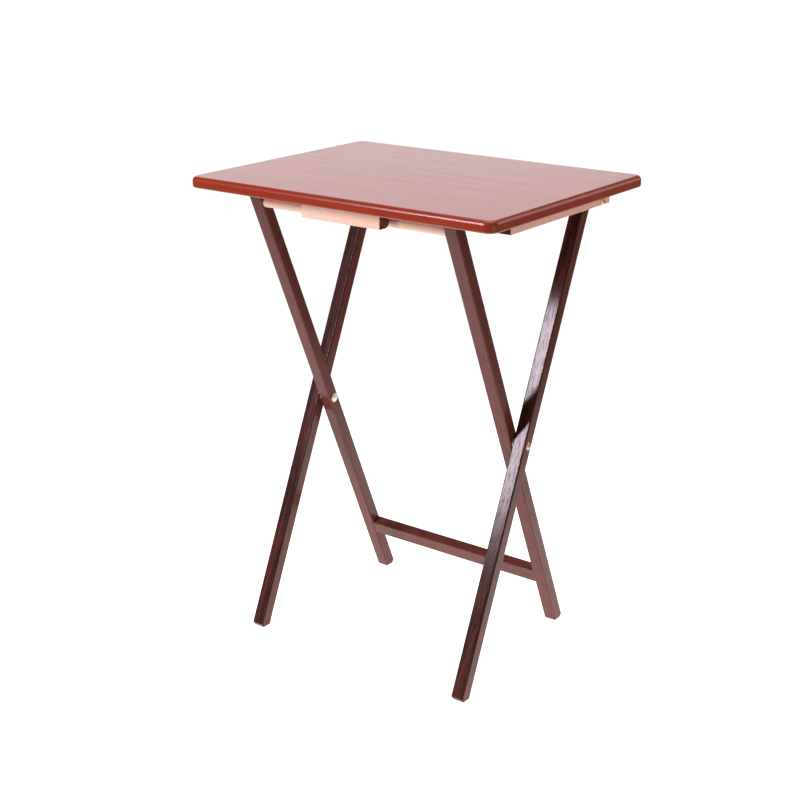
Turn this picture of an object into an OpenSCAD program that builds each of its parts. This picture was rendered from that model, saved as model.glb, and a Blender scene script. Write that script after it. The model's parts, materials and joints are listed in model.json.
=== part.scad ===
// Folding tray table: a round-edged wooden top on two crossing leg frames.
// The inner frame carries a crossbar that the top rests on behind its latch block.
// The outer frame is hinged to two rails under the top. Both frames cross at two pivots.
// Origin: on the floor under the middle of the top. +X right, +Y back, +Z up. Millimetres.

/* [Overall] */
// Height of the top's upper surface above the floor
table_h = 660; // [600:1:800]
// Height of the crossing pivots above the floor
pivot_h = 320; // [260:1:400]

/* [Top] */
// Width of the top, side to side
top_w = 478; // [390:1:600]
// Depth of the top, front to back
top_d = 370; // [305:1:450]
// Thickness of the top
top_t = 15; // [12.5:0.5:20]
// Radius of the top's corners in plan
corner_r = 14; // [8:0.5:30]
// Rounding of the top's upper edge
upper_edge_r = 6; // [2:0.5:7]
// Rounding of the top's lower edge
lower_edge_r = 3; // [1:0.5:4]

/* [Legs] */
// Width of a leg, side to side
leg_w = 19; // [16:0.5:24]
// Depth of a leg, across its length
leg_d = 18; // [15:0.5:22]
// Easing of a leg's long edges
leg_ease = 2; // [0.5:0.25:3]
// Length of the chamfer on the sharp lower corner of each foot
foot_chamfer = 6; // [3:0.5:9]
// Height of the stretcher's middle above the floor
stretcher_z = 82; // [50:1:160]
// Height of the stretcher, along the legs
stretcher_h = 22; // [18:0.5:30]
// Thickness of the stretcher
stretcher_t = 16; // [12:0.5:18]
// Easing of the stretcher's long edges
stretcher_ease = 1.5; // [0.5:0.25:3]
// Diameter of the stretcher's joining pins
joint_pin_d = 6; // [5:0.5:8]
// Distance between the two joining pins at one end
joint_pin_pitch = 11; // [9:0.5:14]
// Depth that a joining pin goes into each piece
joint_pin_reach = 10; // [7:0.5:12]
// Diameter of the crossbar
crossbar_d = 14; // [12:0.5:16]
// Diameter of the crossbar's tenons
tenon_d = 10; // [8:0.5:11]
// Length of the crossbar's tenons
tenon_len = 12; // [8:0.5:14]

/* [Under the top] */
// Distance from the top's underside down to the hinge and crossbar axes
axis_drop = 15.5; // [13:0.5:18]
// Distance from the top's back edge to the hinge axis
hinge_inset = 53; // [35:1:80]
// Distance from the top's side edge to the rail
rail_inset = 33; // [15:1:50]
// Length of a rail
rail_len = 245; // [205:1:300]
// Width of a rail
rail_w = 19; // [15:0.5:24]
// Height of a rail
rail_h = 21; // [21:0.5:26]
// Length of a rail behind the hinge axis
rail_behind = 19.5; // [12:0.5:30]
// Distance from each end of a rail to its screw, clear of the hinge bolt
rail_screw_inset = 58; // [40:1:80]
// Distance from the top's front edge to the latch block
latch_inset = 20; // [8:1:40]
// Length of the latch block, side to side
latch_len = 124; // [100:1:150]
// Depth of the latch block
latch_d = 20.5; // [17:0.5:25]
// Height of the latch block
latch_h = 21; // [17:0.5:25]
// Rounding of the latch block's lower back edge
latch_round = 8; // [6:0.5:9]
// Distance from each end of the latch block to its screw
latch_screw_inset = 22; // [12:1:40]

/* [Hardware] */
// Diameter of the pivot and hinge bolts
bolt_d = 6; // [5:0.5:7]
// Diameter of a pivot bolt's head
pivot_head_d = 10.5; // [10:0.5:14]
// Height of a pivot bolt's head
pivot_head_h = 2.2; // [1.8:0.1:3]
// Diameter of a pivot's sleeve nut in the inner leg
sleeve_d = 8.4; // [8:0.1:9.5]
// Diameter of a sleeve nut's head
sleeve_head_d = 10; // [10:0.5:13]
// Height of a sleeve nut's head
sleeve_head_h = 2.6; // [2:0.1:3.5]
// Diameter of the washer under a sleeve nut's head
pivot_washer_d = 13.5; // [13:0.5:17]
// Thickness of the washer under a sleeve nut's head
pivot_washer_t = 1.2; // [1:0.1:2]
// Gap between an outer leg and the inner leg beside it
leg_gap = 2.2; // [1.5:0.1:4]
// Diameter of the spacer washer in that gap
spacer_d = 14; // [11:0.5:17]
// Diameter of a hinge bolt's head
hinge_head_d = 9.5; // [9:0.5:11]
// Height of a hinge bolt's head
hinge_head_h = 3; // [2.5:0.1:4]
// Width across flats of a hinge bolt's socket
hinge_socket = 4; // [3:0.5:5]
// Gap between a rail and the outer leg beside it
rail_gap = 1.8; // [1.2:0.1:3]
// Diameter of the hinge washer in that gap
hinge_washer_d = 14; // [11:0.5:17]
// Diameter of a hinge nut, set flush in the leg
hinge_nut_d = 12; // [10:0.5:13]
// Height of a hinge nut
hinge_nut_h = 4; // [3:0.5:5]
// Length of a wood screw
screw_len = 25; // [20:0.5:26]
// Shank diameter of a wood screw
screw_d = 3.8; // [3:0.1:4.5]
// Head diameter of a wood screw
screw_head_d = 7.2; // [6:0.1:7.6]
// Depth that a wood screw's head is sunk into the wood
screw_sink = 5; // [4:0.5:6]

/* [Clearances] */
// Radial clearance of a pin that turns in a bore
running_gap = 0.08; // [0.05:0.01:0.1]
// Radial clearance of a pin or screw that is held in its hole
seat_gap = 0.05; // [0.02:0.01:0.1]
// Side clearance between a washer and the wood that it keeps apart
washer_gap = 0.1; // [0.05:0.01:0.15]
// Clearance between a leg's end and the top
end_gap = 0.3; // [0.3:0.05:0.6]
// Clearance between the crossbar and the latch block
latch_gap = 0.3; // [0.3:0.05:0.8]

/* [Hidden] */
$fn = 48;
left = -1;
right = 1;
eps = 0.01;

// Heights
under_z = table_h - top_t;
axis_z = under_z - axis_drop;

// Places from front to back
latch_front_y = -top_d / 2 + latch_inset;
latch_back_y = latch_front_y + latch_d;
crossbar_y = latch_back_y + latch_gap + crossbar_d / 2;
hinge_y = top_d / 2 - hinge_inset;
pivot_y = (hinge_y + crossbar_y) / 2;
leg_spread = (hinge_y - crossbar_y) / 2;
leg_tilt = atan(leg_spread / (axis_z - pivot_h));
leg_arm = leg_spread / sin(leg_tilt);
rail_back_y = hinge_y + rail_behind;
rail_front_y = rail_back_y - rail_len;

// Places on the right-hand side, from the outside in
rail_outer_x = top_w / 2 - rail_inset;
rail_inner_x = rail_outer_x - rail_w;
outer_leg_x1 = rail_inner_x - rail_gap;
outer_leg_x0 = outer_leg_x1 - leg_w;
inner_leg_x1 = outer_leg_x0 - leg_gap;
inner_leg_x0 = inner_leg_x1 - leg_w;

// Legs, measured along their own length from the crossing pivot
leg_end_r = axis_drop - end_gap;
leg_reach = leg_arm + leg_end_r;
foot_reach = pivot_h / cos(leg_tilt) + leg_d * tan(leg_tilt);
foot_corner_y = pivot_h * tan(leg_tilt) + leg_d / 2 / cos(leg_tilt);
foot_bisector = (90 - leg_tilt) / 2;
stretcher_s = (pivot_h - stretcher_z) / cos(leg_tilt);

// Hardware shapes
socket_depth_share = 0.6;
slot_w = 1.4;
slot_depth = 1;
screw_slot_w = 0.9;
screw_head_h = 2.2;
screw_tip = 4;
sleeve_wall_end = 1.5;
pin_end_gap = 0.5;
head_rim = 0.6;

wood_dark = "#4a2a24";
wood_pale = "#e2c8a2";
wood_top = "#a2503a";
brass = "#c9986a";
pale_gold = "#d9c48c";
steel = "#c9c9c6";

// Draws its children as modelled, or mirrored to the left-hand side
module on_side(side) {
  if (side == left)
    mirror([1, 0, 0]) children();
  else
    children();
}

// A bar of round section along X
module x_rod(x0, x1, d) {
  translate([x0, 0, 0])
    rotate([0, 90, 0])
      cylinder(h = x1 - x0, d = d);
}

// A ring along X
module x_ring(x0, x1, d, hole) {
  difference() {
    x_rod(x0, x1, d);
    x_rod(x0 - 1, x1 + 1, hole);
  }
}

// A low domed head that stands on x = 0 and points to +X
module low_head(d, h) {
  rotate([0, 90, 0])
    rotate_extrude()
      intersection() {
        square([d / 2, h]);
        translate([0, h - (d * d / 4 + (h - head_rim) * (h - head_rim)) / (2 * (h - head_rim))])
          circle(r = (d * d / 4 + (h - head_rim) * (h - head_rim)) / (2 * (h - head_rim)), $fn = 96);
      }
}

// A rectangle with its four corners rounded, centred on the origin
module soft_rect(w, d, r) {
  square([w - 2 * r, d], center = true);
  square([w, d - 2 * r], center = true);
  for (sx = [-1, 1], sy = [-1, 1])
    translate([sx * (w / 2 - r), sy * (d / 2 - r)])
      circle(r = r);
}

// Section of the top's edge, from a line inside the top (x = 0) out to its edge (x = run)
module edge_section(run) {
  translate([0, lower_edge_r])
    square([run, top_t - lower_edge_r - upper_edge_r]);
  square([run - lower_edge_r, lower_edge_r]);
  translate([0, top_t - upper_edge_r])
    square([run - upper_edge_r, upper_edge_r]);
  translate([run - upper_edge_r, top_t - upper_edge_r])
    circle(r = upper_edge_r);
  translate([run - lower_edge_r, lower_edge_r])
    circle(r = lower_edge_r);
}

// One side of the top's edge along X, between two corners
module edge_strip(len) {
  rotate([90, 0, 90])
    translate([0, 0, -len / 2])
      linear_extrude(height = len)
        edge_section(corner_r);
}

module top_blank() {
  core_w = top_w - 2 * corner_r;
  core_d = top_d - 2 * corner_r;
  translate([-core_w / 2, -core_d / 2, 0])
    cube([core_w, core_d, top_t]);
  for (turn = [0, 180]) {
    rotate([0, 0, turn])
      translate([0, core_d / 2, 0])
        edge_strip(core_w);
    rotate([0, 0, turn + 90])
      translate([0, core_w / 2, 0])
        edge_strip(core_d);
  }
  for (sx = [-1, 1], sy = [-1, 1])
    translate([sx * core_w / 2, sy * core_d / 2, 0])
      rotate_extrude()
        edge_section(corner_r);
}

// A wood screw pointing up, with its head's face on z = 0; grow makes the hole that it needs
module screw_shape(grow) {
  rotate_extrude()
    polygon([
      [0, 0],
      [screw_head_d / 2 + grow, 0],
      [screw_d / 2 + grow, screw_head_h],
      [screw_d / 2 + grow, screw_len - screw_tip + grow],
      [0, screw_len + grow]
    ]);
}

module wood_screw() {
  difference() {
    screw_shape(0);
    translate([-screw_head_d / 2, -screw_slot_w / 2, -1])
      cube([screw_head_d, screw_slot_w, 1 + slot_depth]);
  }
}

module screw_hole() {
  screw_shape(seat_gap);
  translate([0, 0, -screw_sink - 1])
    cylinder(h = screw_sink + 1 + eps, d = screw_head_d + 2 * seat_gap);
}

// Puts its children at each screw of the right-hand rail
module at_rail_screws() {
  for (y = [rail_front_y + rail_screw_inset, rail_back_y - rail_screw_inset])
    translate([rail_inner_x + rail_w / 2, y, under_z - rail_h + screw_sink])
      children();
}

// Puts its children at each screw of the latch block
module at_latch_screws() {
  for (sx = [-1, 1])
    translate([
      sx * (latch_len / 2 - latch_screw_inset),
      latch_front_y + (latch_d - latch_round) / 2,
      under_z - latch_h + screw_sink
    ])
      children();
}

module top_panel() {
  color(wood_top)
    difference() {
      translate([0, 0, under_z]) top_blank();
      at_latch_screws() screw_hole();
      at_rail_screws() screw_hole();
      mirror([1, 0, 0]) at_rail_screws() screw_hole();
    }
}

module rail(side) {
  color(wood_pale)
    on_side(side)
      difference() {
        translate([rail_inner_x, rail_front_y, under_z - rail_h])
          cube([rail_w, rail_len, rail_h]);
        translate([0, hinge_y, axis_z])
          x_rod(rail_inner_x - 1, rail_outer_x + 1, bolt_d + 2 * running_gap);
        at_rail_screws() screw_hole();
      }
}

module rail_screws(side) {
  color(steel)
    on_side(side)
      at_rail_screws() wood_screw();
}

module latch_block() {
  color(wood_pale)
    difference() {
      translate([-latch_len / 2, latch_front_y, under_z - latch_h])
        rotate([90, 0, 90])
          linear_extrude(height = latch_len)
            union() {
              square([latch_d - latch_round, latch_h]);
              translate([0, latch_round])
                square([latch_d, latch_h - latch_round]);
              translate([latch_d - latch_round, latch_round])
                circle(r = latch_round);
            }
      at_latch_screws() screw_hole();
    }
}

module latch_screws() {
  color(steel)
    at_latch_screws() wood_screw();
}

// A leg that leans back, centred on x = 0, with its crossing pivot on y = 0:
// round at its upper end, cut flat on the floor, and chamfered at the foot's sharp corner
module leg_blank() {
  difference() {
    translate([0, 0, pivot_h])
      rotate([-leg_tilt, 0, 0])
        intersection() {
          translate([0, 0, -foot_reach])
            linear_extrude(height = foot_reach + leg_reach)
              soft_rect(leg_w, leg_d, leg_ease);
          union() {
            translate([0, 0, leg_arm])
              x_rod(-leg_w, leg_w, 2 * leg_end_r);
            translate([-leg_w, -leg_d, -foot_reach])
              cube([2 * leg_w, 2 * leg_d, foot_reach + leg_arm]);
          }
        }
    translate([-leg_w, -foot_corner_y - leg_d, -2 * leg_d])
      cube([2 * leg_w, 4 * leg_d, 2 * leg_d]);
    translate([0, -foot_corner_y, 0])
      rotate([foot_bisector, 0, 0])
        translate([-leg_w, -leg_d, -2 * leg_d])
          cube([2 * leg_w, leg_d + foot_chamfer * cos(foot_bisector), 4 * leg_d]);
  }
}

module outer_leg(side) {
  color(wood_dark)
    on_side(side)
      difference() {
        translate([(outer_leg_x0 + outer_leg_x1) / 2, pivot_y, 0])
          leg_blank();
        translate([0, pivot_y, pivot_h])
          x_rod(outer_leg_x0 - 1, outer_leg_x1 + 1, bolt_d + 2 * seat_gap);
        translate([0, hinge_y, axis_z]) {
          x_rod(outer_leg_x0 - 1, outer_leg_x1 + 1, bolt_d + 2 * running_gap);
          x_rod(outer_leg_x0 - 1, outer_leg_x0 + hinge_nut_h + 2 * washer_gap, hinge_nut_d + 2 * running_gap);
        }
      }
}

// Puts its children where the stretcher's middle lies, turned with the inner legs
module at_stretcher() {
  translate([0, pivot_y, pivot_h])
    rotate([leg_tilt, 0, 0])
      translate([0, 0, -stretcher_s])
        children();
}

// Puts its children at each of the two joining pins of the right-hand end
module at_joint_pins() {
  at_stretcher()
    for (s = [-1, 1])
      translate([inner_leg_x0, 0, s * joint_pin_pitch / 2])
        children();
}

module inner_leg(side) {
  color(wood_dark)
    on_side(side)
      difference() {
        translate([(inner_leg_x0 + inner_leg_x1) / 2, pivot_y, 0])
          mirror([0, 1, 0]) leg_blank();
        translate([0, pivot_y, pivot_h])
          x_rod(inner_leg_x0 - 1, inner_leg_x1 + 1, sleeve_d + 2 * running_gap);
        translate([0, crossbar_y, axis_z])
          x_rod(inner_leg_x0 - 1, inner_leg_x0 + tenon_len + pin_end_gap, tenon_d + 2 * seat_gap);
        at_joint_pins()
          x_rod(-1, joint_pin_reach + pin_end_gap, joint_pin_d + 2 * seat_gap);
      }
}

module stretcher() {
  color(wood_dark)
    difference() {
      at_stretcher()
        rotate([0, 90, 0])
          translate([0, 0, -inner_leg_x0])
            linear_extrude(height = 2 * inner_leg_x0)
              soft_rect(stretcher_h, stretcher_t, stretcher_ease);
      for (side = [left, right])
        on_side(side)
          at_joint_pins()
            x_rod(-joint_pin_reach - pin_end_gap, 1, joint_pin_d + 2 * seat_gap);
    }
}

module stretcher_pins(side) {
  color(wood_pale)
    on_side(side)
      at_joint_pins()
        x_rod(-joint_pin_reach, joint_pin_reach, joint_pin_d);
}

module crossbar() {
  color(wood_pale)
    translate([0, crossbar_y, axis_z]) {
      x_rod(-inner_leg_x0, inner_leg_x0, crossbar_d);
      x_rod(-inner_leg_x0 - tenon_len, inner_leg_x0 + tenon_len, tenon_d);
    }
}

// A slotted bolt from outside, through the outer leg and the spacer into the sleeve nut
module pivot_bolt(side) {
  color(brass)
    on_side(side)
      translate([0, pivot_y, pivot_h]) {
        x_rod(inner_leg_x0 + sleeve_wall_end + pin_end_gap, outer_leg_x1 + eps, bolt_d);
        difference() {
          translate([outer_leg_x1, 0, 0]) low_head(pivot_head_d, pivot_head_h);
          translate([outer_leg_x1 + pivot_head_h - slot_depth, 0, 0])
            rotate([45, 0, 0])
              translate([0, -pivot_head_d, -slot_w / 2])
                cube([pivot_head_h, 2 * pivot_head_d, slot_w]);
        }
      }
}

// A sleeve nut from inside: its head bears on the washer, and its sleeve fills the leg's bore
module pivot_nut(side) {
  head_x = inner_leg_x0 - washer_gap - pivot_washer_t;
  color(steel)
    on_side(side)
      translate([0, pivot_y, pivot_h])
        difference() {
          union() {
            translate([head_x, 0, 0])
              mirror([1, 0, 0]) low_head(sleeve_head_d, sleeve_head_h);
            x_rod(head_x - eps, inner_leg_x1, sleeve_d);
          }
          x_rod(inner_leg_x0 + sleeve_wall_end, inner_leg_x1 + 1, bolt_d + 2 * seat_gap);
        }
}

module pivot_washer(side) {
  x1 = inner_leg_x0 - washer_gap;
  color(pale_gold)
    on_side(side)
      translate([0, pivot_y, pivot_h])
        x_ring(x1 - pivot_washer_t, x1, pivot_washer_d, sleeve_d + 2 * seat_gap);
}

module pivot_spacer(side) {
  color(steel)
    on_side(side)
      translate([0, pivot_y, pivot_h])
        x_ring(inner_leg_x1 + washer_gap, outer_leg_x0 - washer_gap, spacer_d, bolt_d + 2 * seat_gap);
}

// A socket-head bolt from outside, through the rail and the washer into the flush nut
module hinge_bolt(side) {
  socket_depth = socket_depth_share * hinge_head_h;
  color(pale_gold)
    on_side(side)
      translate([0, hinge_y, axis_z]) {
        x_rod(outer_leg_x0 + washer_gap + slot_depth, rail_outer_x + eps, bolt_d);
        difference() {
          translate([rail_outer_x, 0, 0]) low_head(hinge_head_d, hinge_head_h);
          translate([rail_outer_x + hinge_head_h - socket_depth, 0, 0])
            rotate([0, 90, 0])
              cylinder(h = socket_depth + 1, d = hinge_socket / cos(30), $fn = 6);
        }
      }
}

module hinge_nut(side) {
  x0 = outer_leg_x0 + washer_gap;
  color(steel)
    on_side(side)
      translate([0, hinge_y, axis_z])
        difference() {
          x_ring(x0, x0 + hinge_nut_h, hinge_nut_d, bolt_d + 2 * seat_gap);
          translate([x0 - 1, -hinge_nut_d, -slot_w / 2])
            cube([1 + slot_depth, 2 * hinge_nut_d, slot_w]);
        }
}

module hinge_washer(side) {
  color(steel)
    on_side(side)
      translate([0, hinge_y, axis_z])
        x_ring(outer_leg_x1 + washer_gap, rail_inner_x - washer_gap, hinge_washer_d, bolt_d + 2 * seat_gap);
}

top_panel();
rail(left);  // rail_left
rail(right);  // rail_right
latch_block();
rail_screws(left);  // rail_screws_left
rail_screws(right);  // rail_screws_right
latch_screws();
outer_leg(left);  // outer_leg_left
outer_leg(right);  // outer_leg_right
inner_leg(left);  // inner_leg_left
inner_leg(right);  // inner_leg_right
stretcher();
stretcher_pins(left);  // stretcher_pins_left
stretcher_pins(right);  // stretcher_pins_right
crossbar();
pivot_bolt(left);  // pivot_bolt_left
pivot_bolt(right);  // pivot_bolt_right
pivot_nut(left);  // pivot_nut_left
pivot_nut(right);  // pivot_nut_right
pivot_washer(left);  // pivot_washer_left
pivot_washer(right);  // pivot_washer_right
pivot_spacer(left);  // pivot_spacer_left
pivot_spacer(right);  // pivot_spacer_right
hinge_bolt(left);  // hinge_bolt_left
hinge_bolt(right);  // hinge_bolt_right
hinge_nut(left);  // hinge_nut_left
hinge_nut(right);  // hinge_nut_right
hinge_washer(left);  // hinge_washer_left
hinge_washer(right);  // hinge_washer_right
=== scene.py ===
import json
import math

import bmesh
import bpy
from mathutils import Matrix, Vector


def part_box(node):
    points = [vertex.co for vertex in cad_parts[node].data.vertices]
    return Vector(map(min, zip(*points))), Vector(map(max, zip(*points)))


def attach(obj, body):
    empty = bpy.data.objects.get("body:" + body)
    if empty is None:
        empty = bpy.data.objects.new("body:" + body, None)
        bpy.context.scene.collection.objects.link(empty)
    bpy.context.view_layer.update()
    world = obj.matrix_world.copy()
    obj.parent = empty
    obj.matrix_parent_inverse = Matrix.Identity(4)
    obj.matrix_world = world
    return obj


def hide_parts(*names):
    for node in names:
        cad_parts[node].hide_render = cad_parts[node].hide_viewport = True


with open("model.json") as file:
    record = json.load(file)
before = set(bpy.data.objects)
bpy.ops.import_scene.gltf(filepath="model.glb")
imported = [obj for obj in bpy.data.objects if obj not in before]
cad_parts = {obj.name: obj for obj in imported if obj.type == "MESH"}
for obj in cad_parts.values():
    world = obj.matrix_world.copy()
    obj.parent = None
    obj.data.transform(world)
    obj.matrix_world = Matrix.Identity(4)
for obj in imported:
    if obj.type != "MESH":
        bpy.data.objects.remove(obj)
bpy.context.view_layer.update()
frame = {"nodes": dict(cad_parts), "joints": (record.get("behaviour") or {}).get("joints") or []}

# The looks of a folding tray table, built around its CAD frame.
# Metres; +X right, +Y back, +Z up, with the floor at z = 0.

MM = 0.001

# ---------------------------------------------------------------- sizes from the frame

JOINT_AT = {joint["name"]: Vector(joint["pos_m"]) for joint in frame["joints"]}
PIVOT = JOINT_AT["leg_fold"]
HINGE = JOINT_AT["top_level"]
LEG_TILT = math.atan2(HINGE.y - PIVOT.y, HINGE.z - PIVOT.z)
LEG_ARM = math.hypot(HINGE.y - PIVOT.y, HINGE.z - PIVOT.z)
PANEL_LOW, PANEL_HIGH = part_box("top_panel")

# Shapes that the boxes don't give
PANEL_CORNER = 14 * MM
PANEL_UPPER_EDGE = 6 * MM
PANEL_LOWER_EDGE = 3 * MM
LEG_DEPTH = 18 * MM
LEG_EASE = 2 * MM
LEG_END_RADIUS = 15.2 * MM
LEG_CORNER = 1.6 * MM
FOOT_CHAMFER = 6 * MM
STRETCHER_HEIGHT = 22 * MM
STRETCHER_THICKNESS = 16 * MM
STRETCHER_EASE = 1.5 * MM
LATCH_ROUND = 8 * MM
LATCH_END_EASE = 0.5 * MM
RAIL_EASE = 0.8 * MM
BAR_DIAMETER = 14 * MM

# Bores, a little wider than what goes through them
PIVOT_BORE = 6.1 * MM
HINGE_BORE = 6.2 * MM
HINGE_NUT_BORE = 12.2 * MM
HINGE_NUT_DEPTH = 4.2 * MM
SLEEVE_BORE = 8.6 * MM
SCREW_BORE = 7.4 * MM
SCREW_SINK = 5 * MM
TENON_BORE = 10.1 * MM
TENON_DEPTH = 12.5 * MM
TENON_CLEARANCE = 0.05 * MM

# How finely curves are cut
CORNER_STEPS = 6
BOARD_CORNER_STEPS = 14
BOARD_EDGE_STEPS = 10
ROUND_BAR_STEPS = 12
LEG_EDGE_STEPS = 5
RAIL_EDGE_STEPS = 4
END_ARC_STEPS = 14
BORE_SIDES = 48
ROUND_CORNER_FROM = math.radians(25)
SHARP_FROM = math.radians(32)
LEAST_RADIUS = 0.1 * MM
MERGE_DISTANCE = 0.001 * MM
END_GRAIN_FROM = 0.9

# ---------------------------------------------------------------- outlines and lofts


def meeting(first, second, inset):
    """Where two lines meet, both moved in by inset.

    A line is the angle of its outward normal and its distance from the origin."""
    a, da = first[0], first[1] - inset
    b, db = second[0], second[1] - inset
    turn = math.sin(b - a)
    x = (da * math.sin(b) - db * math.sin(a)) / turn
    y = (db * math.cos(a) - da * math.cos(b)) / turn
    return x, y


def outline(sides, inset, steps):
    """Points round a convex shape, moved in by inset.

    A side is its angle, its distance, and the radius of the corner to the next side."""
    points = []
    for side, after in zip(sides, sides[1:] + sides[:1]):
        turn = (after[0] - side[0]) % math.tau
        if turn < ROUND_CORNER_FROM:
            points.append(meeting(side, after, inset))
            continue
        radius = max(side[2] - inset, LEAST_RADIUS)
        x, y = meeting(side, after, inset + radius)
        for k in range(steps + 1):
            angle = side[0] + turn * k / steps
            points.append((x + radius * math.cos(angle), y + radius * math.sin(angle)))
    return points


def eased_stations(low, high, low_ease, high_ease, steps):
    """(height, inset, ease) from low to high, with a quarter round at each end.

    Ease is 1 in the middle of a quarter round and 0 on the flats."""
    stations = []
    for k in range(steps + 1):
        angle = math.pi / 2 * k / steps
        inset = low_ease * (1 - math.sin(angle))
        stations.append((low + low_ease * (1 - math.cos(angle)), inset, math.sin(2 * angle)))
    for k in range(steps + 1):
        angle = math.pi / 2 * k / steps
        inset = high_ease * (1 - math.cos(angle))
        stations.append((high - high_ease * (1 - math.sin(angle)), inset, math.sin(2 * angle)))
    return stations


def plain_stations(half_length):
    """(height, inset, ease) for a bar with square ends."""
    heights = (-half_length, -half_length / 3, half_length / 3, half_length)
    return [(height, 0, 0) for height in heights]


def along_z(u, v, h):
    """Places a cross-section that is swept up Z."""
    return u, v, h


def along_x(u, v, h):
    """Places a cross-section that is swept along X."""
    return h, u, v


def loft(name, sides, stations, place, steps=CORNER_STEPS):
    """A closed piece whose cross-sections are the outline at each station."""
    bm = bmesh.new()
    ease_layer = bm.verts.layers.float.new("ease")
    rings = []
    for height, inset, ease in stations:
        ring = []
        for u, v in outline(sides, inset, steps):
            vert = bm.verts.new(place(u, v, height))
            vert[ease_layer] = ease
            ring.append(vert)
        rings.append(ring)
    for lower, upper in zip(rings, rings[1:]):
        for k in range(len(lower)):
            j = (k + 1) % len(lower)
            bm.faces.new((lower[k], lower[j], upper[j], upper[k]))
    bm.faces.new(reversed(rings[0]))
    bm.faces.new(rings[-1])
    bmesh.ops.remove_doubles(bm, verts=bm.verts, dist=MERGE_DISTANCE)
    bmesh.ops.recalc_face_normals(bm, faces=bm.faces)
    mesh = bpy.data.meshes.new(name)
    bm.to_mesh(mesh)
    bm.free()
    piece = bpy.data.objects.new(name, mesh)
    bpy.context.scene.collection.objects.link(piece)
    return piece


def rectangle(low_u, high_u, low_v, high_v, radius, last_radius=None):
    """Four sides; the corner at high_u, low_v may have a radius of its own."""
    quarter = math.pi / 2
    last = radius if last_radius is None else last_radius
    return [
        (0, high_u, radius),
        (quarter, high_v, radius),
        (2 * quarter, -low_u, radius),
        (3 * quarter, -low_v, last),
    ]


def drill(piece, low_x, high_x, diameter, y, z):
    """Bores a round hole along X."""
    length = high_x - low_x
    turn = Matrix.Rotation(math.pi / 2, 4, "Y")
    cut(piece, diameter, length, Matrix.Translation((low_x + length / 2, y, z)) @ turn)


def drill_up(piece, x, y, low_z, high_z, diameter):
    """Bores a round hole along Z."""
    length = high_z - low_z
    cut(piece, diameter, length, Matrix.Translation((x, y, low_z + length / 2)))


def cut(piece, diameter, length, matrix):
    """Takes a round bar out of a piece."""
    bm = bmesh.new()
    bmesh.ops.create_cone(
        bm, cap_ends=True, segments=BORE_SIDES, radius1=diameter / 2, radius2=diameter / 2, depth=length
    )
    mesh = bpy.data.meshes.new("cutter")
    bm.to_mesh(mesh)
    bm.free()
    cutter = bpy.data.objects.new("cutter", mesh)
    bpy.context.scene.collection.objects.link(cutter)
    cutter.matrix_world = matrix
    boolean = piece.modifiers.new("bore", "BOOLEAN")
    boolean.object = cutter
    boolean.solver = "EXACT"
    bpy.context.view_layer.update()
    graph = bpy.context.evaluated_depsgraph_get()
    bored = bpy.data.meshes.new_from_object(piece.evaluated_get(graph))
    old = piece.data
    piece.modifiers.clear()
    piece.data = bored
    bored.name = piece.name
    bpy.data.meshes.remove(old)
    bpy.data.objects.remove(cutter)
    bpy.data.meshes.remove(mesh)


def finish_piece(piece, material, body, slot_name, *nodes):
    """Smooths a piece, gives it its material, hides the CAD parts that it stands for and hangs it on its
    body.
    """
    mesh = piece.data
    mesh.polygons.foreach_set("use_smooth", [True] * len(mesh.polygons))
    mesh.set_sharp_from_angle(angle=SHARP_FROM)
    normals = piece.modifiers.new("normals", "WEIGHTED_NORMAL")
    normals.keep_sharp = True
    mesh.materials.clear()
    mesh.materials.append(material)
    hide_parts(*nodes)
    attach(piece, body)


# ---------------------------------------------------------------- material helpers

# Most of a noise lies between these
NOISE_LOW = 0.3
NOISE_HIGH = 0.7

# Depths of bump
FINE_RELIEF = 0.2 * MM
RIPPLE_RELIEF = 1 * MM
SCRATCH_RELIEF = 0.05 * MM


def node(tree, kind, inputs=(), **settings):
    """Adds a shader node; inputs maps its sockets to values or to other nodes' outputs."""
    made = tree.nodes.new(kind)
    for key, value in settings.items():
        setattr(made, key, value)
    for socket, value in dict(inputs).items():
        if isinstance(value, bpy.types.NodeSocket):
            tree.links.new(value, made.inputs[socket])
        else:
            made.inputs[socket].default_value = value
    return made


def new_material(name):
    """A material with a bare Principled shader."""
    material = bpy.data.materials.new(name)
    material.use_nodes = True
    tree = material.node_tree
    tree.nodes.clear()
    shader = tree.nodes.new("ShaderNodeBsdfPrincipled")
    output = tree.nodes.new("ShaderNodeOutputMaterial")
    tree.links.new(shader.outputs[0], output.inputs[0])
    return material, tree, shader


def noise(tree, vector, scale, detail=2.0, roughness=0.5, distortion=0.0):
    """Value of a noise texture, about 0 to 1."""
    inputs = {
        "Vector": vector,
        "Scale": scale,
        "Detail": detail,
        "Roughness": roughness,
        "Distortion": distortion,
    }
    return node(tree, "ShaderNodeTexNoise", inputs).outputs[0]


def remap(tree, value, low, high, to_low=0.0, to_high=1.0):
    """Stretches low..high onto to_low..to_high, clamped."""
    inputs = {0: value, 1: low, 2: high, 3: to_low, 4: to_high}
    return node(tree, "ShaderNodeMapRange", inputs).outputs[0]


def spread(tree, value, to_low=0.0, to_high=1.0):
    """Stretches the middle of a noise, where most of it lies, onto to_low..to_high."""
    return remap(tree, value, NOISE_LOW, NOISE_HIGH, to_low, to_high)


def math_node(tree, operation, first, second):
    """Result of one sum."""
    return node(tree, "ShaderNodeMath", {0: first, 1: second}, operation=operation).outputs[0]


def blend_colour(tree, amount, first, second):
    """Colour between first and second."""
    inputs = {0: amount, 6: first, 7: second}
    return node(tree, "ShaderNodeMix", inputs, data_type="RGBA").outputs[2]


def bump(tree, socket, height, strength, distance=FINE_RELIEF):
    """Raises or sinks a surface by height times distance."""
    inputs = {"Strength": strength, "Distance": distance, "Height": height}
    tree.links.new(node(tree, "ShaderNodeBump", inputs).outputs[0], socket)


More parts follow.
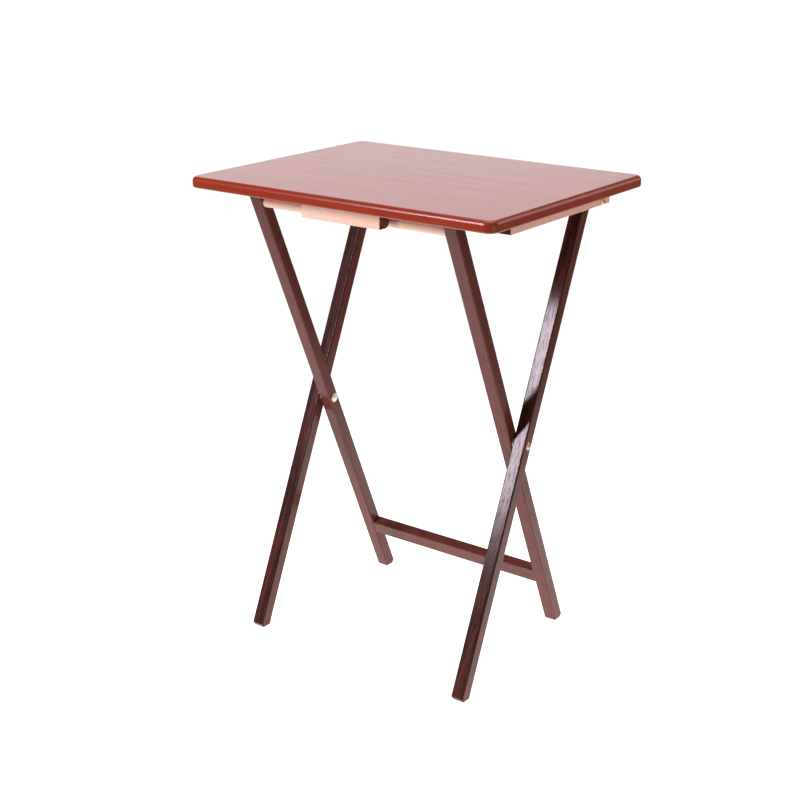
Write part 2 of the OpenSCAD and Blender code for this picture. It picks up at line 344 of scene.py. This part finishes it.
def settle(shader, values):
    """Sets the shader's sockets that are the same all over the surface."""
    for socket, value in values.items():
        shader.inputs[socket].default_value = value


def opaque(colour):
    """A colour with its alpha."""
    return (*colour, 1.0)


# ---------------------------------------------------------------- wood

# Grain directions: an axis, and the angle that it leans about X
ALONG_X = ("x", 0.0)
ALONG_Y = ("y", 0.0)
ALONG_OUTER_LEG = ("z", -LEG_TILT)
ALONG_INNER_LEG = ("z", LEG_TILT)
ALONG_STRETCHER = ("x", LEG_TILT)

# How far a seed moves a pattern, in metres along X, Y and Z
SEED_STEP = (0.37, 0.53, 0.71)

# From which dot product with the front a face counts as one, and where it counts in full
FACING_FROM = 0.55
FACING_FULL = 0.95

# Colour of the pores, also used for the painted shade on rounded edges
PORE_AND_EDGE_SHADE = (0.016, 0.005, 0.004)
STAIN_DARK = (0.087, 0.0215, 0.0150)
STAIN_MID = (0.130, 0.0335, 0.0230)
STAIN_LIGHT = (0.172, 0.0475, 0.0330)
STAIN_WORN = (0.200, 0.0660, 0.0430)
# Colour for the front and back faces: partly dark open grain, partly painted shade for the dim light on
# the outer legs' fronts
STAIN_FIGURE_AND_SHADE = (0.020, 0.0078, 0.0075)

CHERRY_DARK = (0.215, 0.018, 0.003)
CHERRY_MID = (0.310, 0.032, 0.006)
CHERRY_LIGHT = (0.400, 0.054, 0.014)
CHERRY_EDGE = (0.250, 0.022, 0.007)

PALE_DARK = (0.66, 0.40, 0.26)
PALE_MID = (0.91, 0.62, 0.40)
PALE_LIGHT = (0.95, 0.71, 0.56)
# Pink painted into the rails, standing in for the pink light that falls on them
PALE_PINK_LIGHT = (0.98, 0.58, 0.48)


def grain_space(tree, grain, seed, stretch):
    """Coordinates squeezed along the grain, so that the patterns run along it, and moved by seed."""
    axis, lean = grain
    coords = node(tree, "ShaderNodeTexCoord").outputs["Object"]
    scale = [1.0, 1.0, 1.0]
    scale["xyz".index(axis)] = stretch
    shift = tuple(step * seed for step in SEED_STEP)
    inputs = {"Vector": coords, "Location": shift, "Rotation": (lean, 0, 0), "Scale": scale}
    return node(tree, "ShaderNodeMapping", inputs, vector_type="TEXTURE").outputs[0]


def grain_noise(tree, grain, seed, stretch, scale, **shape):
    """Noise that is stretched along the grain."""
    return noise(tree, grain_space(tree, grain, seed, stretch), scale, **shape)


def grain_tone(tree, bands, streaks, band_share):
    """Mixes broad bands and fine streaks into one tone, 0 to 1."""
    broad = math_node(tree, "MULTIPLY", spread(tree, bands), band_share)
    fine = math_node(tree, "MULTIPLY", spread(tree, streaks), 1 - band_share)
    return math_node(tree, "ADD", broad, fine)


def edge_ease(tree):
    """1 on the rounded edges of a piece and 0 on its flats."""
    return node(tree, "ShaderNodeAttribute", attribute_name="ease").outputs["Fac"]


def front_facing(tree, grain):
    """How squarely a face looks to the front or back, at right angles to a leaning grain."""
    normal = node(tree, "ShaderNodeTexCoord").outputs["Normal"]
    front = (0, math.cos(grain[1]), math.sin(grain[1]))
    facing = node(tree, "ShaderNodeVectorMath", {0: normal, 1: front}, operation="DOT_PRODUCT")
    return math_node(tree, "ABSOLUTE", facing.outputs["Value"], 0)


def by_facing(tree, facing, at_side, at_front):
    """Goes from at_side to at_front as a face turns to the front."""
    return remap(tree, facing, FACING_FROM, FACING_FULL, at_side, at_front)


def stain_colour(tree, tone, broad, pore, facing, figure_and_shade):
    """Colour of stained hardwood, from its grain to its worn edges, with painted shade darkening some
    front faces and rounded edges.
    """
    colour = blend_colour(tree, tone, opaque(STAIN_DARK), opaque(STAIN_LIGHT))
    evened = spread(tree, broad, 0.35, 0.7)
    colour = blend_colour(tree, evened, colour, opaque(STAIN_MID))
    # Front and back faces darken where the grain is dark: partly the grain's open figure, partly painted
    # shade standing in for the dimmer light on the outer legs' fronts
    front_figure_and_shade = by_facing(tree, facing, 0.0, figure_and_shade)
    dark_figure_and_shade = math_node(tree, "MULTIPLY", front_figure_and_shade, remap(tree, tone, 0.3, 0.75, 1.0, 0.25))
    colour = blend_colour(tree, dark_figure_and_shade, colour, opaque(STAIN_FIGURE_AND_SHADE))
    pore_strength = by_facing(tree, facing, 0.5, 0.5 + 0.4 * figure_and_shade)
    pore_share = math_node(tree, "MULTIPLY", pore, pore_strength)
    colour = blend_colour(tree, pore_share, colour, opaque(PORE_AND_EDGE_SHADE))
    ease = edge_ease(tree)
    wear = remap(tree, broad, 0.35, 0.7, 0.05, 0.3 - 0.25 * figure_and_shade)
    colour = blend_colour(tree, math_node(tree, "MULTIPLY", ease, wear), colour, opaque(STAIN_WORN))
    # Painted shade: the rounded edges turn near-black, standing in for the dark reflection that the
    # roundovers show
    painted_edge_shade = math_node(tree, "MULTIPLY", ease, 0.85 * figure_and_shade)
    return blend_colour(tree, painted_edge_shade, colour, opaque(PORE_AND_EDGE_SHADE))


def stained_wood(name, grain, seed, figure_and_shade=0.0):
    """Dark stained hardwood under satin lacquer, with fine open pores that run along the grain.

    The last argument sets how much darker and more open the grain is on the faces that look to the front
    and back, and how dark the rounded edges are. The darker faces are partly open grain and partly painted
    shade, standing in for the dim light on the outer legs' fronts. The dark edges are painted shade,
    standing in for the dark reflection on their roundovers."""
    material, tree, shader = new_material(name)
    bands = grain_noise(tree, grain, seed, stretch=14, scale=95, detail=3, roughness=0.55, distortion=0.6)
    streaks = grain_noise(tree, grain, seed + 1, stretch=30, scale=620, detail=4, roughness=0.65)
    pores = grain_noise(tree, grain, seed + 2, stretch=12, scale=820)
    broad = grain_noise(tree, grain, seed + 3, stretch=5, scale=14)
    facing = front_facing(tree, grain)
    tone = grain_tone(tree, bands, streaks, band_share=0.55)
    pore = remap(tree, pores, 0.55, 0.68)
    colour = stain_colour(tree, tone, broad, pore, facing, figure_and_shade)
    tree.links.new(colour, shader.inputs["Base Color"])
    tree.links.new(spread(tree, streaks, 0.36, 0.5), shader.inputs["Roughness"])
    height = math_node(tree, "SUBTRACT", math_node(tree, "MULTIPLY", streaks, 0.5), pore)
    deeper = by_facing(tree, facing, 1.0, 1.0 + 0.2 * figure_and_shade)
    height = math_node(tree, "MULTIPLY", height, deeper)
    bump(tree, shader.inputs["Normal"], height, strength=0.25)
    bump(tree, shader.inputs["Coat Normal"], height, strength=0.11)
    lacquer = {
        "Specular IOR Level": 0.0,
        "Coat Weight": 0.8,
        "Coat Roughness": 0.17,
        "Coat IOR": 1.38,
    }
    settle(shader, lacquer)
    return material


def cherry_colour(tree, tone, blotch, pore):
    """Colour of the red-brown board, which is darker in its pores and on its edges."""
    colour = blend_colour(tree, tone, opaque(CHERRY_DARK), opaque(CHERRY_LIGHT))
    evened = spread(tree, blotch, 0.2, 0.65)
    colour = blend_colour(tree, evened, colour, opaque(CHERRY_MID))
    pore_share = math_node(tree, "MULTIPLY", pore, 0.7)
    colour = blend_colour(tree, pore_share, colour, opaque(CHERRY_DARK))
    edge_share = math_node(tree, "MULTIPLY", edge_ease(tree), 0.6)
    return blend_colour(tree, edge_share, colour, opaque(CHERRY_EDGE))


def cherry_lacquer(name, seed):
    """Red-brown stained board with straight grain along X, under clear satin lacquer."""
    material, tree, shader = new_material(name)
    bands = grain_noise(tree, ALONG_X, seed, stretch=9, scale=26, detail=3, roughness=0.55, distortion=0.8)
    streaks = grain_noise(tree, ALONG_X, seed + 1, stretch=34, scale=260, detail=4, roughness=0.6)
    pores = grain_noise(tree, ALONG_X, seed + 2, stretch=26, scale=900)
    blotch = grain_noise(tree, ALONG_X, seed + 3, stretch=1.6, scale=16)
    ripple = grain_noise(tree, ALONG_X, seed + 4, stretch=2.5, scale=55, detail=1, roughness=0.4)
    tone = grain_tone(tree, bands, streaks, band_share=0.6)
    pore = remap(tree, pores, 0.58, 0.7)
    tree.links.new(cherry_colour(tree, tone, blotch, pore), shader.inputs["Base Color"])
    tree.links.new(spread(tree, streaks, 0.3, 0.42), shader.inputs["Roughness"])
    height = math_node(tree, "SUBTRACT", math_node(tree, "MULTIPLY", streaks, 0.6), pore)
    bump(tree, shader.inputs["Normal"], height, strength=0.12)
    bump(tree, shader.inputs["Coat Normal"], ripple, strength=0.05, distance=RIPPLE_RELIEF)
    lacquer = {
        "Specular IOR Level": 0.1,
        "Coat Weight": 1.0,
        "Coat Roughness": 0.22,
        "Coat IOR": 1.36,
    }
    settle(shader, lacquer)
    return material


def pale_wood(name, grain, seed, pink_light_share=0.0):
    """Bare planed softwood with faint growth lines and small flecks. The pink share is painted light: a
    pink cast standing in for the pink light that falls on the rails.
    """
    material, tree, shader = new_material(name)
    bands = grain_noise(tree, grain, seed, stretch=12, scale=130, detail=3, distortion=0.5)
    streaks = grain_noise(tree, grain, seed + 1, stretch=30, scale=900, detail=3, roughness=0.6)
    flecks = grain_noise(tree, grain, seed + 2, stretch=7, scale=1100, detail=1)
    tone = grain_tone(tree, bands, streaks, band_share=0.6)
    colour = blend_colour(tree, tone, opaque(PALE_MID), opaque(PALE_LIGHT))
    # Painted light: a pink cast that stands in for the pink light that falls on the rails
    colour = blend_colour(tree, pink_light_share, colour, opaque(PALE_PINK_LIGHT))
    fleck = remap(tree, flecks, 0.62, 0.72, 0.0, 0.35)
    colour = blend_colour(tree, fleck, colour, opaque(PALE_DARK))
    tree.links.new(colour, shader.inputs["Base Color"])
    tree.links.new(spread(tree, streaks, 0.5, 0.66), shader.inputs["Roughness"])
    bump(tree, shader.inputs["Normal"], streaks, strength=0.25)
    return material


# ---------------------------------------------------------------- metal

COPPER = (0.90, 0.56, 0.36)
COPPER_DULL = (0.70, 0.38, 0.22)
GOLD = (0.86, 0.68, 0.38)
GOLD_DULL = (0.66, 0.50, 0.26)
STEEL = (0.93, 0.91, 0.87)
STEEL_DULL = (0.80, 0.78, 0.74)


def metal(name, colour, dull, roughness):
    """Plated metal with fine scratches and a little tarnish."""
    material, tree, shader = new_material(name)
    coords = node(tree, "ShaderNodeTexCoord").outputs["Object"]
    scratches = noise(tree, coords, 2600, detail=3, roughness=0.6)
    tarnish = noise(tree, coords, 420)
    tarnished = remap(tree, tarnish, 0.35, 0.7, 0.0, 0.6)
    mixed = blend_colour(tree, tarnished, opaque(colour), opaque(dull))
    tree.links.new(mixed, shader.inputs["Base Color"])
    rough = spread(tree, scratches, roughness - 0.06, roughness + 0.1)
    tree.links.new(rough, shader.inputs["Roughness"])
    bump(tree, shader.inputs["Normal"], scratches, strength=0.15, distance=SCRATCH_RELIEF)
    settle(shader, {"Metallic": 1.0})
    return material


# ---------------------------------------------------------------- the top


def make_board():
    """The top's board."""
    size = PANEL_HIGH - PANEL_LOW
    sides = rectangle(-size.x / 2, size.x / 2, -size.y / 2, size.y / 2, PANEL_CORNER)
    stations = eased_stations(0, size.z, PANEL_LOWER_EDGE, PANEL_UPPER_EDGE, BOARD_EDGE_STEPS)
    board = loft("board", sides, stations, along_z, BOARD_CORNER_STEPS)
    middle = (PANEL_LOW + PANEL_HIGH) / 2
    board.data.transform(Matrix.Translation((middle.x, middle.y, PANEL_LOW.z)))
    material = cherry_lacquer("cherry_lacquer", seed=3)
    finish_piece(board, material, "table_top", "top_veneer", "top_panel")


def make_latch_block():
    """The pale block under the top's front edge, with its stained ends and screw holes."""
    low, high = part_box("latch_block")
    depth = (high.y - low.y) / 2
    height = (high.z - low.z) / 2
    length = (high.x - low.x) / 2
    sides = rectangle(-depth, depth, -height, height, RAIL_EASE, LATCH_ROUND)
    stations = eased_stations(-length, length, LATCH_END_EASE, LATCH_END_EASE, RAIL_EDGE_STEPS)
    block = loft("latch", sides, stations, along_x, ROUND_BAR_STEPS)
    block.data.transform(Matrix.Translation((low + high) / 2))
    screws_low, screws_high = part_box("latch_screws")
    for x in (screws_low.x, screws_high.x):
        inward = math.copysign(SCREW_BORE / 2, -x)
        y = (screws_low.y + screws_high.y) / 2
        drill_up(block, x + inward, y, low.z - MM, low.z + SCREW_SINK + MM, SCREW_BORE)
    material = pale_wood("pale_block", ALONG_X, seed=5)
    finish_piece(block, material, "table_top", "pale_wood", "latch_block")
    stain_ends(block, "x", stained_wood("stained_ends_block", ALONG_X, seed=31))


def stain_ends(piece, axis, material):
    """Gives the faces that look along the axis the dark stain."""
    piece.data.materials.append(material)
    along = "xyz".index(axis)
    for face in piece.data.polygons:
        if abs(face.normal[along]) > END_GRAIN_FROM:
            face.material_index = 1


def make_rail(side):
    """A pale rail under the top, with its stained ends, hinge bore and screw holes."""
    low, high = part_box(f"rail_{side}")
    length = (high.y - low.y) / 2
    height = (high.z - low.z) / 2
    width = (high.x - low.x) / 2
    sides = rectangle(-length, length, -height, height, RAIL_EASE)
    stations = eased_stations(-width, width, RAIL_EASE, RAIL_EASE, RAIL_EDGE_STEPS)
    rail = loft(f"rail_bar_{side}", sides, stations, along_x)
    rail.data.transform(Matrix.Translation((low + high) / 2))
    drill(rail, low.x - MM, high.x + MM, HINGE_BORE, HINGE.y, HINGE.z)
    screws_low, screws_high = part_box(f"rail_screws_{side}")
    x = (screws_low.x + screws_high.x) / 2
    for y in (screws_low.y + SCREW_BORE / 2, screws_high.y - SCREW_BORE / 2):
        drill_up(rail, x, y, low.z - MM, low.z + SCREW_SINK + MM, SCREW_BORE)
    seed = 11 if side == "left" else 17
    # The rails get a share of painted pink light
    material = pale_wood(f"pale_rail_{side}", ALONG_Y, seed, pink_light_share=0.7)
    finish_piece(rail, material, "table_top", "pale_wood", f"rail_{side}")
    stain_ends(rail, "y", stained_wood(f"stained_ends_{side}", ALONG_Y, seed + 20))


# ---------------------------------------------------------------- the legs


def leg_sides():
    """Side view of a leg that leans back, measured from the crossing pivot.

    It runs across the leg's depth, then along its length."""
    half = LEG_DEPTH / 2
    first = math.acos(half / LEG_END_RADIUS)
    sides = [(0, half, LEG_CORNER)]
    for k in range(END_ARC_STEPS + 1):
        angle = first + (math.pi - 2 * first) * k / END_ARC_STEPS
        sides.append((angle, LEG_ARM * math.sin(angle) + LEG_END_RADIUS, LEG_CORNER))
    front = (math.pi, half, LEG_CORNER)
    floor = (1.5 * math.pi + LEG_TILT, PIVOT.z, LEG_CORNER / 2)
    bisector = (front[0] + floor[0]) / 2
    x, y = meeting(front, floor, 0)
    reach = x * math.cos(bisector) + y * math.sin(bisector)
    cut_back = FOOT_CHAMFER * math.cos((math.pi / 2 - LEG_TILT) / 2)
    chamfer = (bisector, reach - cut_back, LEG_CORNER)
    return sides + [front, chamfer, floor]


def make_leg(name, node_name, leans):
    """A leg; leans is 1 for one that leans back and -1 for one that leans forward."""
    low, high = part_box(node_name)
    half = (high.x - low.x) / 2
    stations = eased_stations(-half, half, LEG_EASE, LEG_EASE, LEG_EDGE_STEPS)
    leg = loft(name, leg_sides(), stations, along_x)
    place = Matrix.Translation(((low.x + high.x) / 2, PIVOT.y, PIVOT.z))
    lean = Matrix.Rotation(-leans * LEG_TILT, 4, "X")
    turn = Matrix.Rotation(0 if leans > 0 else math.pi, 4, "Z")
    leg.data.transform(place @ lean @ turn)
    return leg, low, high


def make_outer_leg(side, seed):
    """A leg that is hinged to the top."""
    leg, low, high = make_leg(f"outer_bar_{side}", f"outer_leg_{side}", 1)
    drill(leg, low.x - MM, high.x + MM, PIVOT_BORE, PIVOT.y, PIVOT.z)
    drill(leg, low.x - MM, high.x + MM, HINGE_BORE, HINGE.y, HINGE.z)
    if side == "left":
        drill(leg, high.x - HINGE_NUT_DEPTH, high.x + MM, HINGE_NUT_BORE, HINGE.y, HINGE.z)
    else:
        drill(leg, low.x - MM, low.x + HINGE_NUT_DEPTH, HINGE_NUT_BORE, HINGE.y, HINGE.z)
    # Painted shade: the front faces are darkened partly as shade, and the rounded edges are painted
    # near-black as shade
    material = stained_wood(f"stained_outer_{side}", ALONG_OUTER_LEG, seed, figure_and_shade=0.95)
    finish_piece(leg, material, "outer_frame", "dark_wood", f"outer_leg_{side}")


def make_inner_leg(side, seed):
    """A leg that carries the crossbar."""
    leg, low, high = make_leg(f"inner_bar_{side}", f"inner_leg_{side}", -1)
    drill(leg, low.x - MM, high.x + MM, SLEEVE_BORE, PIVOT.y, PIVOT.z)
    bar_low, bar_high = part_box("crossbar")
    y = (bar_low.y + bar_high.y) / 2
    z = (bar_low.z + bar_high.z) / 2
    if side == "left":
        drill(leg, high.x - TENON_DEPTH, high.x + MM, TENON_BORE, y, z)
    else:
        drill(leg, low.x - MM, low.x + TENON_DEPTH, TENON_BORE, y, z)
    material = stained_wood(f"stained_inner_{side}", ALONG_INNER_LEG, seed)
    finish_piece(leg, material, "inner_frame", "dark_wood", f"inner_leg_{side}")


def make_stretcher():
    """The bar between the inner legs' lower ends."""
    low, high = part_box("stretcher")
    thick = STRETCHER_THICKNESS / 2
    tall = STRETCHER_HEIGHT / 2
    length = (high.x - low.x) / 2
    sides = rectangle(-thick, thick, -tall, tall, STRETCHER_EASE)
    bar = loft("stretcher_bar", sides, plain_stations(length), along_x)
    bar.data.transform(Matrix.Translation((low + high) / 2) @ Matrix.Rotation(LEG_TILT, 4, "X"))
    material = stained_wood("stained_stretcher", ALONG_STRETCHER, seed=23)
    finish_piece(bar, material, "inner_frame", "dark_wood", "stretcher")


def make_crossbar():
    """The round bar that the top rests on, with a thinner tenon at each end."""
    low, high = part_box("crossbar")
    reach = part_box("inner_leg_right")[0].x
    radius = BAR_DIAMETER / 2
    sides = rectangle(-radius, radius, -radius, radius, radius)
    shoulder = radius - (TENON_BORE / 2 - TENON_CLEARANCE)
    left_tenon = [(-high.x, shoulder, 0), (-reach, shoulder, 0)]
    right_tenon = [(reach, shoulder, 0), (high.x, shoulder, 0)]
    stations = left_tenon + plain_stations(reach) + right_tenon
    bar = loft("cross_dowel", sides, stations, along_x, ROUND_BAR_STEPS)
    bar.data.transform(Matrix.Translation((low + high) / 2))
    material = pale_wood("pale_dowel", ALONG_X, seed=41)
    finish_piece(bar, material, "inner_frame", "pale_wood", "crossbar")


# ---------------------------------------------------------------- hardware


def dress(node_name, material):
    """Gives a CAD node its material."""
    for entry in frame["nodes"][node_name].material_slots:
        entry.material = material


def make_hardware():
    """Finishes for the bolts, nuts, washers, screws and wooden pins."""
    copper = metal("copper_plate", COPPER, COPPER_DULL, roughness=0.38)
    gold = metal("gold_plate", GOLD, GOLD_DULL, roughness=0.36)
    steel = metal("zinc_plate", STEEL, STEEL_DULL, roughness=0.6)
    pins = pale_wood("pale_pins", ALONG_X, seed=47)
    for side in ("left", "right"):
        dress(f"pivot_bolt_{side}", copper)
        dress(f"pivot_washer_{side}", gold)
        dress(f"hinge_bolt_{side}", gold)
        dress(f"stretcher_pins_{side}", pins)
        for part in ("pivot_nut", "pivot_spacer", "hinge_nut", "hinge_washer", "rail_screws"):
            dress(f"{part}_{side}", steel)
    dress("latch_screws", steel)


# ---------------------------------------------------------------- studio

CAMERA_AT = Vector((1.11422, -1.55043, 1.01316))
CAMERA_YAW = 0.6349
CAMERA_PITCH = 0.3364
CAMERA_ROLL = 0.0016
CAMERA_LENS = 65.36
CAMERA_SENSOR = 36
CAMERA_CLIP_END = 200

FLOOR_RADIUS = 1.4
FLOOR_BRIGHT_RADIUS = 0.5
FLOOR_GLOW = 1.2
FLOOR_GREY = (0.56, 0.56, 0.56)
FLOOR_PALE = (0.60, 0.60, 0.60)
WHITE = (1, 1, 1)

ROOM_SEEN = 1.05
ROOM_LIGHT = 0.15

LEGS_AT = (0, 0, 0.4)
TOP_AT = (0, 0, 0.66)


def make_camera():
    """The camera, which looks down at the table from its front right."""
    data = bpy.data.cameras.new("camera")
    data.sensor_width = CAMERA_SENSOR
    data.lens = CAMERA_LENS
    data.clip_end = CAMERA_CLIP_END
    camera = bpy.data.objects.new("camera", data)
    bpy.context.scene.collection.objects.link(camera)
    yaw = Matrix.Rotation(CAMERA_YAW, 4, "Z")
    pitch = Matrix.Rotation(math.pi / 2 - CAMERA_PITCH, 4, "X")
    roll = Matrix.Rotation(CAMERA_ROLL, 4, "Z")
    camera.matrix_world = Matrix.Translation(CAMERA_AT) @ yaw @ pitch @ roll
    bpy.context.scene.camera = camera


def make_floor():
    """A white light table, brightest under the object, that fades into the white room.

    It shows only from above."""
    bm = bmesh.new()
    bmesh.ops.create_circle(bm, cap_ends=True, segments=96, radius=FLOOR_RADIUS)
    mesh = bpy.data.meshes.new("floor")
    bm.to_mesh(mesh)
    bm.free()
    floor = bpy.data.objects.new("floor", mesh)
    bpy.context.scene.collection.objects.link(floor)
    material, tree, shader = new_material("studio_floor")
    coords = node(tree, "ShaderNodeTexCoord").outputs["Object"]
    tone = spread(tree, noise(tree, coords, 3))
    colour = blend_colour(tree, tone, opaque(FLOOR_GREY), opaque(FLOOR_PALE))
    tree.links.new(colour, shader.inputs["Base Color"])
    surface = {
        "Roughness": 0.9,
        "Specular IOR Level": 0.0,
        "Emission Color": opaque(WHITE),
        "Emission Strength": FLOOR_GLOW,
    }
    settle(shader, surface)
    reach = node(tree, "ShaderNodeVectorMath", {0: coords}, operation="LENGTH").outputs["Value"]
    below = node(tree, "ShaderNodeNewGeometry").outputs["Backfacing"]
    above = math_node(tree, "SUBTRACT", 1, below)
    fade = remap(tree, reach, FLOOR_BRIGHT_RADIUS, FLOOR_RADIUS, 1, 0)
    tree.links.new(math_node(tree, "MULTIPLY", fade, above), shader.inputs["Alpha"])
    mesh.materials.append(material)


def make_room_light():
    """An even dim room that looks white behind the object."""
    world = bpy.data.worlds.new("studio")
    bpy.context.scene.world = world
    world.use_nodes = True
    tree = world.node_tree
    tree.nodes.clear()
    seen = node(tree, "ShaderNodeLightPath").outputs["Is Camera Ray"]
    strength = remap(tree, seen, 0, 1, ROOM_LIGHT, ROOM_SEEN)
    background = node(tree, "ShaderNodeBackground", {0: opaque(WHITE), 1: strength})
    output = node(tree, "ShaderNodeOutputWorld")
    tree.links.new(background.outputs[0], output.inputs[0])


def soft_box(name, at, size, radiance, colour=WHITE, towards=LEGS_AT):
    """A rectangular area light that faces a point. Size is its width and height."""
    width, height = size
    data = bpy.data.lights.new(name, "AREA")
    data.shape = "RECTANGLE"
    data.size = width
    data.size_y = height
    data.energy = radiance * math.pi * width * height
    data.color = colour
    light = bpy.data.objects.new(name, data)
    bpy.context.scene.collection.objects.link(light)
    light.location = at
    away = Vector(at) - Vector(towards)
    light.rotation_mode = "QUATERNION"
    light.rotation_quaternion = away.to_track_quat("Z", "Y")
    light.visible_camera = False


def make_studio():
    """Soft boxes round the table; the backdrop one is what the top mirrors."""
    lilac = (1.0, 0.87, 1.0)
    rose = (1.0, 0.84, 0.84)
    warm_rose = (1.0, 0.84, 0.80)
    cool = (0.98, 0.97, 1.0)
    soft_box("box_front_left", (-1.08, -2.01, 1.53), size=(0.31, 1.15), radiance=42, colour=lilac)
    soft_box("box_back_right", (1.57, 1.58, 1.5), size=(1.8, 1.5), radiance=1.8, colour=warm_rose)
    soft_box("box_right", (2.2, -0.6, 0.5), size=(1.2, 1.0), radiance=1.4, colour=rose)
    backdrop_at = (-2.3, 2.3, 1.4)
    soft_box("box_backdrop", backdrop_at, (2.8, 2.3), radiance=0.93, colour=cool, towards=TOP_AT)
    soft_box("box_front_high", (0.3, -2.2, 2.6), size=(1.6, 1.6), radiance=0.5)
    soft_box("box_overhead", (0, 0.2, 2.4), size=(1.6, 1.6), radiance=2.8)
    bpy.context.scene.view_settings.view_transform = "Standard"


# ---------------------------------------------------------------- assembly

make_camera()
make_floor()
make_room_light()
make_studio()
make_board()
make_latch_block()
for side_name, side_seed in (("left", 51), ("right", 67)):
    make_rail(side_name)
    make_outer_leg(side_name, side_seed)
    make_inner_leg(side_name, side_seed + 7)
make_stretcher()
make_crossbar()
make_hardware()
